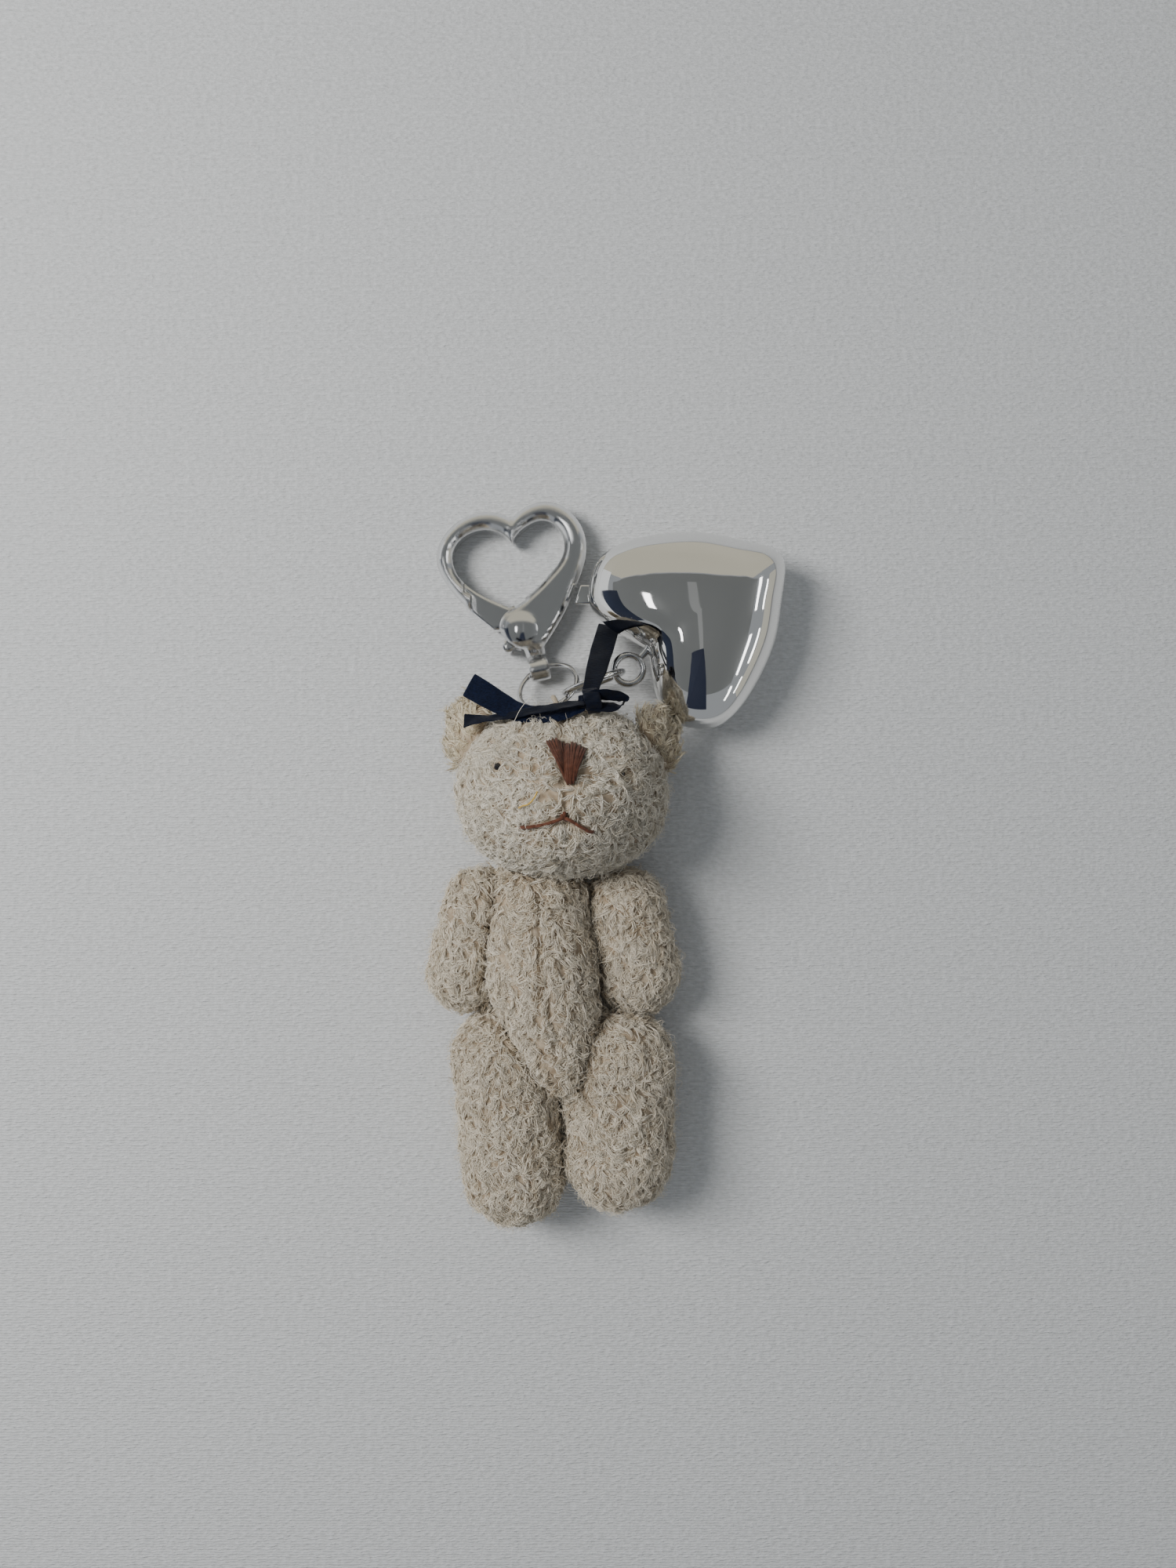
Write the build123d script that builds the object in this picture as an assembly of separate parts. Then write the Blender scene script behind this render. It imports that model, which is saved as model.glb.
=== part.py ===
from build123d import *
import os
from math import cos, radians, sin

os.makedirs("parts", exist_ok=True)

# Every length is in millimetres. +Z is up, away from the table, and the bear lies on its back with its
# crown towards +Y. The plan centre of the whole keychain is taken off every piece when it is written.
PLAN_CENTRE = (2.957, -11.241)

# Shapes that stand on their base, rather than about their middle.
FROM_BASE = (Align.CENTER, Align.CENTER, Align.MIN)

# Plush body. Each limb is a rounded bar between a joint ball and an end ball: (x, y, z), radius.
COVER = 1.2
JOINT_GAP = 0.3
HEAD_CENTRE = (-3.8, -0.9, 12.6)
HEAD_HALF_WIDTH = 16.0
HEAD_RADIUS = 12.6
MUZZLE_CENTRE = (-3.2, -0.9, 19.2)
MUZZLE_RADIUS = 8.2
TORSO_TOP = (-7.4, -13.9, 8.9)
TORSO_TILT = 2.9
TORSO_BALLS = [(7.5, 7.5), (16.5, 8.7), (24.0, 6.6), (30.6, 2.6)]
SHOULDER_SLANT = 5.0
HIP_SLANT = 27.0
LEG_GAP_X = -3.9
ARM_LEFT = [(-16.1, -18.2, 7.4), 4.7, (-19.0, -29.0, 5.4), 5.3]
ARM_RIGHT = [(5.6, -18.7, 7.6), 5.3, (7.6, -28.6, 6.1), 6.0]
LEG_LEFT = [(-13.2, -42.0, 7.4), 7.3, (-11.0, -59.4, 7.3), 7.2]
LEG_RIGHT = [(4.6, -42.8, 8.0), 7.9, (4.4, -56.4, 7.8), 7.7]
THREAD_RADIUS = 0.6
THREAD_CLEARANCE = 0.08
KNOT_RADIUS = 1.0
KNOT_HALF_LENGTH = 0.6

# Face and ears.
EAR_LEFT = (-17.0, 7.3, 11.0)
EAR_LEFT_RADIUS = 4.6
EAR_RIGHT = (9.6, 6.2, 11.0)
EAR_RIGHT_RADIUS = 4.2
EAR_HALF_THICKNESS = 1.6
EYE_RADIUS = 0.6
EYE_LEFT = (-12.6, 2.4, 22.8)
EYE_RIGHT = (4.7, 1.4, 22.5)
STITCH_HEIGHT = 0.45
STITCH_WIDTH = 0.55

# Heart clasp: a flat cast ring of constant thickness with rounded edges, lying on the table.
CLASP_THICKNESS = 4.6
CLASP_EDGE = 0.9
KNUCKLE = (-10.4, 24.2)
KNUCKLE_RADIUS = 3.1
GATE_THICKNESS = 3.2
GATE_GAP = 0.12
PIN_RADIUS = 0.6
NECK = (-8.1, 20.1)
CLASP_LEAN = 12.7
POST_RADIUS = 0.7

# Rings.
EYE_STRAP_WIDTH = 3.1
EYE_STRAP_OUTER = 1.85
EYE_STRAP_INNER = 1.2
RING_RADIUS = 4.7
RING_WIRE = 0.4
RING_HEADING = 26.0
RING_TILT = 44.6
LINK_RADIUS = 4.7
LINK_WIRE = 0.45
LINK_HEADING = 20.1
PENDANT_EYE = (6.2, 17.5, 7.5)
PENDANT_EYE_RADIUS = 2.2
PENDANT_EYE_WIRE = 0.5

# Puffed heart pendant, in its own frame: cleft at the origin, point on +X, half of the outline given.
PENDANT_ORIGIN = (9.1, 20.5, 7.5)
PENDANT_HEADING = 35.0
PENDANT_HALF_DEPTH = 7.5
PENDANT_WALL = 1.0
HEART_HALF = [(-1.4, 3.1), (-3.0, 6.8), (-3.0, 11.5), (0.8, 15.2), (5.0, 15.8), (10.5, 14.0), (16.5, 10.4)]
HEART_TIP = [(21.3, 5.6), (24.3, 2.0), (25.0, 0.0)]
HEART_MIDDLE = (8.5, 0.0)

# Satin ribbon.
RIBBON_WIDTH = 3.1
RIBBON_THICKNESS = 0.25
BOW_CENTRE = (0.0, 11.7, 18.6)


def save(name, shape):
    """Writes one piece, in the frame whose origin is the plan centre on the table."""
    moved = shape.moved(Location((-PLAN_CENTRE[0], -PLAN_CENTRE[1], 0)))
    export_step(moved, f"parts/{name}.step")


def ball(centre, radius):
    return Pos(*centre) * Sphere(radius)


def rod(start, end, radius):
    """A round bar from one point to another."""
    a, b = Vector(*start), Vector(*end)
    plane = Plane(origin=a, z_dir=b - a)
    return plane * Cylinder(radius, (b - a).length, align=FROM_BASE)


def torus_on(centre, normal, major, minor):
    return Plane(origin=centre, z_dir=normal) * Torus(major, minor)


def half_space(point, normal, size=90):
    """The block that fills everything on the side of a plane that its normal points to."""
    plane = Plane(origin=point, z_dir=normal)
    return plane * Box(size, size, size, align=FROM_BASE)


def hull_of(*sketches):
    """The outline that wraps several flat shapes."""
    return make_hull([edge for sketch in sketches for edge in sketch.edges()])


def turned(balls, inset=0.0):
    """A round form about Z that wraps balls given as (height, radius). inset shrinks it all over."""
    circles = [Pos(0, height) * Circle(radius - inset) for height, radius in balls]
    outline = Sketch()
    for first, second in zip(circles, circles[1:]):
        outline += hull_of(first, second)
    half_outline = outline & Pos(50, 0) * Rectangle(100, 200)
    return revolve(Plane.XZ * half_outline, Axis.Z)


def rounded_bar(start, start_radius, end, end_radius, inset=0.0):
    """A limb: two balls joined by the cone that touches both. inset makes the stuffing inside the cover."""
    a, b = Vector(*start), Vector(*end)
    bar = turned([(0, start_radius), ((b - a).length, end_radius)], inset)
    return Plane(origin=a, z_dir=b - a) * bar


def skin_and_filling(outer, inner):
    return outer - inner, inner


# Torso: a teardrop turned about its own axis, which leans a little in the plan.
axis_down = Vector(sin(radians(TORSO_TILT)), -cos(radians(TORSO_TILT)), 0)
axis_side = Vector(cos(radians(TORSO_TILT)), sin(radians(TORSO_TILT)), 0)
torso_frame = Plane(origin=TORSO_TOP, x_dir=axis_side, z_dir=axis_down)


def torso_point(down, out, side):
    """A point beside the torso's axis: down the axis, then out to side -1 (left) or 1 (right)."""
    return Vector(*TORSO_TOP) + axis_down * down + axis_side * (out * side)


def slanted(side, slant):
    """The normal of the flat that parts a limb from the torso, pointing away from the torso."""
    return axis_side * (side * cos(radians(slant))) + axis_down * sin(radians(slant))


torso_outer = torso_frame * turned(TORSO_BALLS)
torso_inner = torso_frame * turned(TORSO_BALLS, COVER)
shoulder_flats, hip_flats = {}, {}
for side in (-1, 1):
    shoulder_normal = slanted(side, -SHOULDER_SLANT)
    hip_normal = slanted(side, HIP_SLANT)
    shoulder_flats[side] = (torso_point(16.5, 8.75 + JOINT_GAP, side), shoulder_normal)
    hip_flats[side] = (torso_point(26.8, 6.02 + JOINT_GAP, side), hip_normal)


def limb(bar, flat, legs_apart=0):
    """A limb's cover and stuffing, with its inner side flat where it turns against the torso."""
    point, normal = flat
    outer = rounded_bar(*bar) & half_space(point, normal)
    inner = rounded_bar(*bar, inset=COVER) & half_space(point + normal * COVER, normal)
    if legs_apart:
        middle = Vector(LEG_GAP_X + legs_apart * JOINT_GAP / 2, 0, 0)
        outer &= half_space(middle, (legs_apart, 0, 0), 160)
        inner &= half_space(middle + Vector(legs_apart * COVER, 0, 0), (legs_apart, 0, 0), 160)
    return skin_and_filling(outer, inner)


def knotted(start, end, grow=0.0):
    """A thread with a flat knot at each end. grow gives the room that it turns in."""
    along = (end - start).normalized()
    thread = rod(start, end, THREAD_RADIUS + grow)
    for knot in (start, end):
        reach = along * (KNOT_HALF_LENGTH + grow)
        thread += rod(knot - reach, knot + reach, KNOT_RADIUS + grow)
    return thread


def joint_thread(bar, flat):
    """The thread that a limb turns on: a stub through both covers, knotted at each end."""
    point, normal = flat
    centre = Vector(*bar[0])
    on_flat = centre - normal * (centre - point).dot(normal)
    inside, outside = on_flat - normal * 3.6, on_flat + normal * 3.2
    return knotted(inside, outside), knotted(inside, outside, THREAD_CLEARANCE)


limbs = {
    "arm_left": (ARM_LEFT, shoulder_flats[-1], 0),
    "arm_right": (ARM_RIGHT, shoulder_flats[1], 0),
    "leg_left": (LEG_LEFT, hip_flats[-1], -1),
    "leg_right": (LEG_RIGHT, hip_flats[1], 1),
}
torso_cover, torso_stuffing = skin_and_filling(torso_outer, torso_inner)
for name, (bar, flat, apart) in limbs.items():
    cover, stuffing = limb(bar, flat, apart)
    thread, room = joint_thread(bar, flat)
    save(f"{name}_cover", cover - room)
    save(f"{name}_stuffing", stuffing - room)
    save(f"{name}_thread", thread)
    torso_cover -= thread
    torso_stuffing -= thread

# Neck: one thread through the chin and the top of the torso, on the line that the head turns about.
neck_top = Vector(HEAD_CENTRE[0], -10.4, HEAD_CENTRE[2])
neck_low = Vector(HEAD_CENTRE[0], -18.6, HEAD_CENTRE[2])
neck_thread = knotted(neck_low, neck_top)
neck_room = knotted(neck_low, neck_top, THREAD_CLEARANCE)
save("neck_thread", neck_thread)
save("torso_cover", torso_cover - neck_thread)
save("torso_stuffing", torso_stuffing - neck_thread)


def head_form(grow):
    """The head with its low muzzle, grown or shrunk all over."""
    spread = HEAD_HALF_WIDTH - HEAD_RADIUS
    form = turned([(-spread, HEAD_RADIUS), (spread, HEAD_RADIUS)], -grow)
    return Pos(*HEAD_CENTRE) * Rot(0, 90, 0) * form + ball(MUZZLE_CENTRE, MUZZLE_RADIUS + grow)


head_outer = head_form(0)
head_inner = head_form(-COVER)
stitch_level = head_form(STITCH_HEIGHT)

# Main ring: thin round wire. It rises from the clasp's eye to the crown of the head.
lean = radians(CLASP_LEAN)
clasp_up = Vector(-sin(lean), cos(lean), 0)
clasp_across = Vector(cos(lean), sin(lean), 0)
mid_z = CLASP_THICKNESS / 2
neck_foot = Vector(NECK[0], NECK[1], mid_z)
strap_centre = neck_foot - clasp_up * (EYE_STRAP_OUTER + 0.25)
heading, tilt = radians(RING_HEADING), radians(RING_TILT)
ring_along = Vector(cos(heading), sin(heading), 0)
ring_rise = Vector(sin(heading) * cos(tilt), -cos(heading) * cos(tilt), sin(tilt))
ring_centre = strap_centre + ring_rise * RING_RADIUS
ring_crown = ring_centre + ring_rise * RING_RADIUS
save("main_ring", torus_on(ring_centre, ring_along.cross(ring_rise), RING_RADIUS, RING_WIRE))

# Hanging loop: a short cord loop sewn into the crown, with the main ring through it.
crown_out = Vector(-sin(heading), cos(heading), 0)
loop_foot = ring_crown - crown_out * 2.6
loop_side = Vector(0, 0, 1.25)
loop_legs = rod(loop_foot - loop_side, ring_crown - loop_side, 0.4)
loop_legs += rod(loop_foot + loop_side, ring_crown + loop_side, 0.4)
loop_bend = torus_on(ring_crown, ring_along, 1.25, 0.4) & half_space(ring_crown, crown_out, 20)
save("hanging_loop", loop_legs + loop_bend)

# Face.
eyes = {"eye_left": ball(EYE_LEFT, EYE_RADIUS), "eye_right": ball(EYE_RIGHT, EYE_RADIUS)}
for name, bead in eyes.items():
    save(name, bead)
head_cover, head_stuffing = skin_and_filling(head_outer, head_inner)
eye_dimples = [rod(centre, (centre[0], centre[1], centre[2] + 4), 0.5) for centre in (EYE_LEFT, EYE_RIGHT)]
for piece in [*eyes.values(), *eye_dimples, loop_legs, neck_room]:
    head_cover -= piece
    head_stuffing -= piece
save("head_cover", head_cover)
save("head_stuffing", head_stuffing)

nose_outline = [(-5.75, 6.3), (-4.2, 6.35), (-3.0, 5.5), (-1.7, 5.3), (-0.3, 5.0), (-2.3, -0.1)]
nose_plan = make_face(Polyline(*nose_outline, close=True))
save("nose_stitching", extrude(Pos(0, 0, 18) * nose_plan, 14) & (stitch_level - head_outer))


def stitch(points):
    """A narrow strip in plan along a run of points."""
    dots = [Pos(*point) * Circle(STITCH_WIDTH / 2) for point in points]
    strips = [hull_of(first, second) for first, second in zip(dots, dots[1:])]
    return sum(dots + strips, Sketch())


mouth_left = [(-9.2, -6.1), (-6.4, -5.9), (-3.2, -4.7)]
mouth_right = [(-3.2, -4.7), (-1.4, -5.6), (0.6, -6.8)]
mouth_plan = stitch(mouth_left) + stitch(mouth_right)
save("mouth_stitching", extrude(Pos(0, 0, 18) * mouth_plan, 14) & (stitch_level - head_outer))


def ear(centre, radius, turn):
    """A small flat cushion that leans back from the side of the head."""
    rim = radius - EAR_HALF_THICKNESS
    outline = hull_of(Pos(rim, 0) * Circle(EAR_HALF_THICKNESS), Pos(-rim, 0) * Circle(EAR_HALF_THICKNESS))
    half_outline = outline & Pos(50, 0) * Rectangle(100, 20)
    return Pos(*centre) * Rot(0, turn, 0) * revolve(Plane.XZ * half_outline, Axis.Z) - head_outer


save("ear_left", ear(EAR_LEFT, EAR_LEFT_RADIUS, -20))
save("ear_right", ear(EAR_RIGHT, EAR_RIGHT_RADIUS, 20))


# Clasp: the heart outline and its opening in plan, from the cleft down the left side and up the right.
outline_left = [
    (-12.0, 41.4), (-16.4, 42.5), (-21.6, 39.9), (-23.7, 35.2), (-21.9, 30.9), (-18.4, 27.1), (-13.8, 23.4),
]
outline_right = [
    (-7.6, 20.6), (-4.9, 24.6), (-1.6, 31.6), (-0.3, 37.7), (-2.4, 42.2), (-6.2, 44.1), (-10.2, 43.0),
]
opening_left = [
    (-11.9, 37.6), (-14.6, 39.6), (-18.1, 39.4), (-21.1, 36.4), (-20.6, 33.0), (-18.9, 31.0), (-12.3, 27.5),
]
opening_right = [
    (-12.3, 27.5), (-9.3, 29.5), (-6.0, 32.8), (-3.9, 35.9), (-4.0, 38.9), (-6.5, 41.2), (-9.6, 40.4),
]
heart_outside = make_face(
    Spline(outline_left) + Line(outline_left[-1], outline_right[0]) + Spline(outline_right + outline_left[:1])
)
heart_opening = make_face(Spline(opening_left) + Spline(opening_right + opening_left[:1]))
ring_plan = heart_outside - heart_opening
ring_casting = extrude(ring_plan, CLASP_THICKNESS)
ring_casting = chamfer(ring_casting.edges().filter_by(Plane.XY), CLASP_EDGE)
knuckle = Pos(*KNUCKLE) * Cylinder(KNUCKLE_RADIUS, CLASP_THICKNESS, align=FROM_BASE)
knuckle = fillet(knuckle.edges(), CLASP_EDGE)
dome = ball((*KNUCKLE, CLASP_THICKNESS - 4.2), 5.0) & Pos(*KNUCKLE, CLASP_THICKNESS) * Cylinder(2.9, 3)
neck = Plane(origin=neck_foot, z_dir=clasp_up) * Cone(1.5, 2.0, 2.4, align=FROM_BASE)

# Gate: a bar cut from the same heart outline, with a hub on the pin and a thumb nub behind the knuckle.
gate_zone = make_face(
    Polyline((-18.2, 24.0), (-18.2, 29.3), (-19.3, 29.9), (-19.3, 33.5), (-12.0, 29.6), KNUCKLE, close=True)
)
gate_plan = (ring_plan & gate_zone) + Pos(*KNUCKLE) * Circle(1.9)
gate_plan += hull_of(Pos(*KNUCKLE) * Circle(1.2), Pos(-12.5, 21.5) * Circle(0.9))
gate_floor = (CLASP_THICKNESS - GATE_THICKNESS) / 2
gate = Pos(0, 0, gate_floor) * extrude(gate_plan, GATE_THICKNESS)
slot_height = GATE_THICKNESS + 2 * GATE_GAP


def around_knuckle(spokes):
    """A polygon from the knuckle's centre to points given as (distance, angle)."""
    tips = [(KNUCKLE[0] + r * cos(radians(a)), KNUCKLE[1] + r * sin(radians(a))) for r, a in spokes]
    return make_face(Polyline(KNUCKLE, *tips, close=True))


slot_plan = Pos(*KNUCKLE) * Circle(1.9 + GATE_GAP)
slot_plan += around_knuckle([(4.7, 72), (5.4, 100), (5.8, 130), (6.0, 165), (4.4, 196)])
slot_plan += around_knuckle([(4.4, 192), (4.6, 216), (4.7, 268)])
pin_axis = Pos(*KNUCKLE, CLASP_THICKNESS / 2)
gate_pin = pin_axis * Cylinder(PIN_RADIUS, CLASP_THICKNESS - 0.2)
pocket = pin_axis * Pos(0, 0, 0.7) * Cylinder(1.45, 2.0)
gate = gate - pin_axis * Cylinder(PIN_RADIUS + 0.05, 10) - pocket

# Spring: a small coil round the pin, in a pocket in the hub.
coil_path = Helix(pitch=0.5, height=1.25, radius=1.05, center=(0, 0, 0))
coil_section = Plane(origin=coil_path @ 0, z_dir=coil_path % 0) * Circle(0.17)
gate_spring = pin_axis * Pos(0, 0, -0.05) * sweep(coil_section, path=coil_path, is_frenet=True)

body = ring_casting + knuckle + dome + neck
bar_way = Pos(0, 0, -1) * extrude(offset(gate_zone, GATE_GAP, kind=Kind.INTERSECTION), 8)
body -= bar_way - Pos(*KNUCKLE) * Cylinder(KNUCKLE_RADIUS + 0.3, 20)
body -= Pos(0, 0, gate_floor - GATE_GAP) * extrude(slot_plan, slot_height)
body -= gate_pin

# Swivel eye: a strap loop with a post whose peened head turns in a pocket in the clasp's neck.
post = Plane(origin=neck_foot - clasp_up * 0.6, z_dir=clasp_up)
swivel_post = post * Cylinder(POST_RADIUS, 1.6, align=FROM_BASE)
swivel_post += post * Pos(0, 0, 1.4) * Cylinder(1.05, 0.6, align=FROM_BASE)
post_room = post * Cylinder(POST_RADIUS + 0.06, 1.6, align=FROM_BASE)
post_room += post * Pos(0, 0, 1.3) * Cylinder(1.12, 0.8, align=FROM_BASE)
body -= post_room
strap = Plane(origin=strap_centre, z_dir=clasp_across)
strap_loop = strap * (Cylinder(EYE_STRAP_OUTER, EYE_STRAP_WIDTH) - Cylinder(EYE_STRAP_INNER, EYE_STRAP_WIDTH))
swivel_post -= strap * Cylinder(EYE_STRAP_INNER, EYE_STRAP_WIDTH)
swivel_eye = fillet(strap_loop.edges(), 0.2) + swivel_post

save("clasp_body", body)
save("clasp_gate", gate)
save("gate_pin", gate_pin)
save("gate_spring", gate_spring)
save("swivel_eye", swivel_eye)

# Link ring: a jump ring stood on edge between the main ring and the pendant's eye.
link_turn = radians(LINK_HEADING)
link_along = Vector(cos(link_turn), sin(link_turn), 0)
eye_centre = Vector(*PENDANT_EYE)
link_centre = eye_centre - link_along * (PENDANT_EYE_RADIUS - 1.25 + LINK_RADIUS) + Vector(0, 0, 0.1)
save("link_ring", torus_on(link_centre, link_along.cross(Vector(0, 0, 1)), LINK_RADIUS, LINK_WIRE))

# Pendant: two moulded half shells of a puffed heart, joined on the middle plane.
half = [(0, 0), *HEART_HALF, *HEART_TIP]


def heart_section(scale, height):
    """The heart's outline at one height, shrunk towards its middle."""
    def shrunk(points):
        mx, my = HEART_MIDDLE
        return [(mx + (x - mx) * scale, my + (y - my) * scale) for x, y in points]

    upper = Spline(shrunk(half))
    lower = Spline(shrunk([(x, -y) for x, y in half]))
    return Pos(0, 0, height) * make_face(upper + lower)


def puffed_half(depth, scale, direction):
    """Half of a puffed heart: outlines that shrink as they climb."""
    steps = [0, 18, 36, 54, 70, 82]
    sections = []
    for angle in steps:
        height = direction * depth * sin(radians(angle))
        sections.append(heart_section(scale * cos(radians(angle)) ** 0.8, height))
    return loft(sections)


pendant_along = (cos(radians(PENDANT_HEADING)), sin(radians(PENDANT_HEADING)), 0)
pendant_frame = Plane(origin=PENDANT_ORIGIN, x_dir=pendant_along, z_dir=(0, 0, 1))
inner_scale = 1 - PENDANT_WALL / 14.0
shells = {}
for name, direction in (("pendant_front_shell", 1), ("pendant_back_shell", -1)):
    outside = puffed_half(PENDANT_HALF_DEPTH, 1.0, direction)
    inside = puffed_half(PENDANT_HALF_DEPTH - PENDANT_WALL, inner_scale, direction)
    shells[name] = pendant_frame * (outside - inside)

# A flat lug moulded on the back shell, beside the clasp.
lug_plan = make_face(Polyline((-2.1, 28.0), (-1.2, 31.0), (3.5, 31.0), (3.5, 28.0), close=True))
lug = fillet(extrude(Pos(0, 0, 3.6) * lug_plan, 1.0).edges().filter_by(Axis.Z), 0.4)
cavity = pendant_frame * puffed_half(PENDANT_HALF_DEPTH - PENDANT_WALL, inner_scale, -1)
shells["pendant_back_shell"] += lug - cavity

# Eye pin: wire wound twice into an eye, with a stem through the cleft and a knob inside the shells.
stem_start = Vector(*PENDANT_EYE)
stem_way = Vector(*PENDANT_ORIGIN) - stem_start
stem_way = stem_way.normalized()
coil_lift = Vector(0, 0, PENDANT_EYE_WIRE * 0.95)
eye_pin = torus_on(eye_centre + coil_lift, (0, 0, 1), PENDANT_EYE_RADIUS, PENDANT_EYE_WIRE)
eye_pin += torus_on(eye_centre - coil_lift, (0, 0, 1), PENDANT_EYE_RADIUS, PENDANT_EYE_WIRE)
stem_end = stem_start + stem_way * 6.2
eye_pin += rod(stem_start + stem_way * (PENDANT_EYE_RADIUS + 0.1), stem_end, 0.55) + ball(stem_end, 1.0)
for name, shell in shells.items():
    save(name, shell - eye_pin)
save("pendant_eye_pin", eye_pin)


# Ribbon: one strip tied in a bow. Bow: knot, two tails and the small loop. The other loop hangs down.
def strip(points):
    """A ribbon seen from its edge: a thin band that follows a curve."""
    return trace(Spline(points), RIBBON_THICKNESS)


bow_plane = Plane(origin=BOW_CENTRE, x_dir=(1, 0, 0), z_dir=(0, -0.42, 0.91))
side_view = Plane.XZ
wide_tail_curve = [(0.8, 0.3), (-4.0, 0.1), (-9.0, 0.7), (-13.5, -0.6), (-17.9, -2.4)]
wide_tail = extrude(side_view * strip(wide_tail_curve), 1.6, both=True)
wide_tail_plan = make_face(Polyline((1, -1.2), (1, 1.2), (-16.9, 1.6), (-17.8, -1.6), close=True))
wide_tail &= extrude(wide_tail_plan, 8, both=True)
narrow_tail_curve = [(0.8, -0.3), (-5.0, -0.5), (-11.0, 0.1), (-18.2, -2.6)]
narrow_tail = extrude(side_view * strip(narrow_tail_curve), 0.6, both=True)
small_loop_path = [(0.4, 0.3), (2.2, 1.2), (4.5, 1.1), (5.4, 0.1), (4.4, -0.8), (2.2, -0.9), (0.4, -0.3)]
small_loop = extrude(strip(small_loop_path), 1.3, both=True)
knot = chamfer(Box(3.2, 3.6, 1.9).edges(), 0.5)
bow = knot + Rot(0, 0, -8.5) * wide_tail
bow += Pos(0, -1.1, -0.3) * Rot(0, 0, -2) * narrow_tail
bow += Rot(48, 0, 0) * small_loop
save("ribbon_bow", bow_plane * bow - head_outer)

loop_path_upper = [(13.75, 17.6), (15.4, 16.0), (18.2, 13.0), (21.2, 9.2), (23.7, 5.1)]
loop_path_lower = [(24.0, 4.2), (22.6, 5.2), (20.2, 8.6), (17.2, 12.3), (15.0, 14.9), (13.75, 16.4)]
loop_side_view = Plane(origin=(0.2, 0, 0), x_dir=(0, 1, 0), z_dir=(1, 0, 0))
loop_line = Spline(loop_path_upper + loop_path_lower)
standing = extrude(loop_side_view * trace(loop_line, RIBBON_THICKNESS), RIBBON_WIDTH / 2, both=True)
save("ribbon_loop", Pos(0, 13.5, 0) * Rot(0, 0, -12) * Pos(0, -13.5, 0) * standing)
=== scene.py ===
import math

import bmesh
import bpy
import numpy as np
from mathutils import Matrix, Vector


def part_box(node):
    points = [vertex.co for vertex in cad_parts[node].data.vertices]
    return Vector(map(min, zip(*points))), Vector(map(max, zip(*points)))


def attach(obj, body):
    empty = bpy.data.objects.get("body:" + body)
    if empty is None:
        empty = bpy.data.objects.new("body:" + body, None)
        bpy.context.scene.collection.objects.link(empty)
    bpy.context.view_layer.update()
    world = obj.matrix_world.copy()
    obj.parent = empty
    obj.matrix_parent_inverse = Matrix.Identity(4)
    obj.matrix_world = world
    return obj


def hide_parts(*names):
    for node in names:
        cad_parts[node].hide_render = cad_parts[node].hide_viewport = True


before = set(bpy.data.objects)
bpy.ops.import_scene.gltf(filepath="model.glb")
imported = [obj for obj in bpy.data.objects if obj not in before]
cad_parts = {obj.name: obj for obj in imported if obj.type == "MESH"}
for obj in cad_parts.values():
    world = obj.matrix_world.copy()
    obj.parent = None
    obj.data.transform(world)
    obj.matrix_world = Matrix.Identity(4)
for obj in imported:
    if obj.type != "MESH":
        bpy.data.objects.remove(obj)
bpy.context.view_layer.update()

# The object's shapes are in millimetres on the drawing that the CAD was made from, with x to the right, y
# towards the crown and z up from the table. The gate pin ties that drawing to the frame. The stage, the
# lights and the noise scales are in metres.
MM = 0.001
MM_IN_A_METRE = 1000
PIN_LOW, PIN_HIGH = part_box("gate_pin")
PIN_ON_DRAWING = np.array([-10.4, 24.2])
SHIFT = np.array([
    (PIN_LOW.x + PIN_HIGH.x) * MM_IN_A_METRE / 2 - PIN_ON_DRAWING[0],
    (PIN_LOW.y + PIN_HIGH.y) * MM_IN_A_METRE / 2 - PIN_ON_DRAWING[1],
    0.0,
])
UP = np.array([0.0, 0.0, 1.0])
TINY = 1e-9


def to_frame(points):
    """Points on the drawing, in metres in the frame."""
    return (np.asarray(points, float) + SHIFT) * MM


def unit(v):
    return v / np.maximum(np.linalg.norm(v, axis=-1, keepdims=True), TINY)


def new_object(name, data):
    ob = bpy.data.objects.new(name, data)
    bpy.context.scene.collection.objects.link(ob)
    return ob


# ---------------------------------------------------------------- materials
def new_material(name):
    mat = bpy.data.materials.new(name)
    mat.use_nodes = True
    nodes, links = mat.node_tree.nodes, mat.node_tree.links
    return mat, nodes, links, nodes["Principled BSDF"]


def mottled(nodes, links, scale, detail, colours, stretch=(1, 1, 1)):
    """A colour that wanders between the given colours with a noise on the object's own coordinates."""
    coords = nodes.new("ShaderNodeTexCoord")
    mapping = nodes.new("ShaderNodeMapping")
    mapping.inputs["Scale"].default_value = stretch
    noise = nodes.new("ShaderNodeTexNoise")
    noise.inputs["Scale"].default_value = scale
    noise.inputs["Detail"].default_value = detail
    ramp = nodes.new("ShaderNodeValToRGB")
    links.new(coords.outputs["Object"], mapping.inputs["Vector"])
    links.new(mapping.outputs["Vector"], noise.inputs["Vector"])
    links.new(noise.outputs["Fac"], ramp.inputs["Fac"])
    stops = ramp.color_ramp.elements
    for k, colour in enumerate(colours):
        place = 0.3 + 0.4 * k / (len(colours) - 1)
        stop = stops[k] if k < 2 else stops.new(place)
        stop.position = place
        stop.color = (*colour, 1)
    return noise, ramp


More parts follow.
